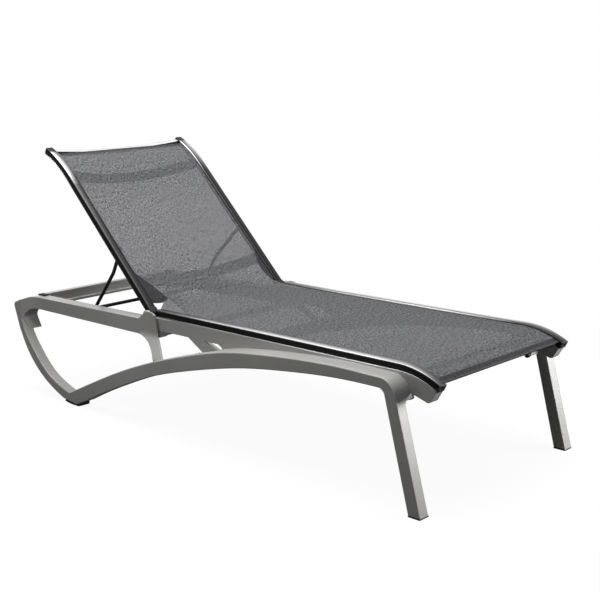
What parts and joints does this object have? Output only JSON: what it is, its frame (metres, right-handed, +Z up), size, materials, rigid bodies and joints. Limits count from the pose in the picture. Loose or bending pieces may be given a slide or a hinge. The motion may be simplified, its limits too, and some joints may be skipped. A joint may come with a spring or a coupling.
{
  "type": "sun lounger",
  "caption": "Outdoor sun lounger with moulded side frames, a tensioned mesh sling and a backrest that reclines in a notched rack by a hinged bail.",
  "frame": {"origin": "on the floor, at the centre of the overall length and width", "axes": "+X from the head end to the foot end, +Y to the left of a person lying on it, +Z up"},
  "size_m": [1.8916, 0.71, 0.8696],
  "materials": {
    "frame_resin": "satin moulded resin, warm platinum grey",
    "rail_metal": "satin extrusion with a dark outer side",
    "bar_metal": "satin",
    "dark_metal": "black powder coat",
    "pin_steel": "brushed",
    "mesh_fabric": "open woven mesh",
    "black_plastic": "fine matt",
    "plug_plastic": "satin",
    "black_rubber": "matt"
  },
  "bodies": {
    "frame": {"side_frame_left": "frame_resin", "side_frame_right": "frame_resin", "seat_rail_left": "rail_metal", "seat_rail_right": "rail_metal", "seat_rail_front_plugs": "plug_plastic", "seat_rail_rear_plugs": "black_plastic", "hinge_pins": "pin_steel", "hinge_washers": "black_plastic", "hinge_brackets": "dark_metal", "bracket_screws": "pin_steel", "sling_seat": "mesh_fabric", "seat_keders": "black_plastic", "hem_bar": "pin_steel", "rack_left": "black_plastic", "rack_right": "black_plastic", "rack_screws": "pin_steel", "rear_crossbeam": "frame_resin", "bumper_pads": "black_rubber", "middle_tube": "rail_metal", "front_crossbeam": "rail_metal", "bolt_caps": "black_plastic", "foot_pads": "black_rubber", "leg_caps": "black_rubber"},
    "backrest": {"back_rail_left": "rail_metal", "back_rail_right": "rail_metal", "back_rail_caps": "black_plastic", "hinge_eyes": "black_plastic", "sling_bend": "mesh_fabric", "sling_back": "mesh_fabric", "back_keders": "black_plastic", "back_top_bar": "bar_metal", "back_upper_brace": "bar_metal", "back_lower_brace": "bar_metal", "brace_collars": "black_plastic", "bail_bushes": "black_plastic"},
    "bail": {"support_bail": "dark_metal"}
  },
  "joints": [
    {"name": "back_hinge", "type": "hinge", "parent": "frame", "child": "backrest", "pos_m": [-0.22997, 0, 0.364], "axis": [0, 1, 0], "range_deg": [-45, 15], "deforming": ["sling_bend"]},
    {"name": "bail_pivot", "type": "hinge", "parent": "backrest", "child": "bail", "pos_m": [-0.42018, 0, 0.54997], "axis": [0, 1, 0], "range_deg": [-29, 87]}
  ],
  "couplings": [
    {"joint": "bail_pivot", "follows": "back_hinge", "ratio": -1.93}
  ]
}
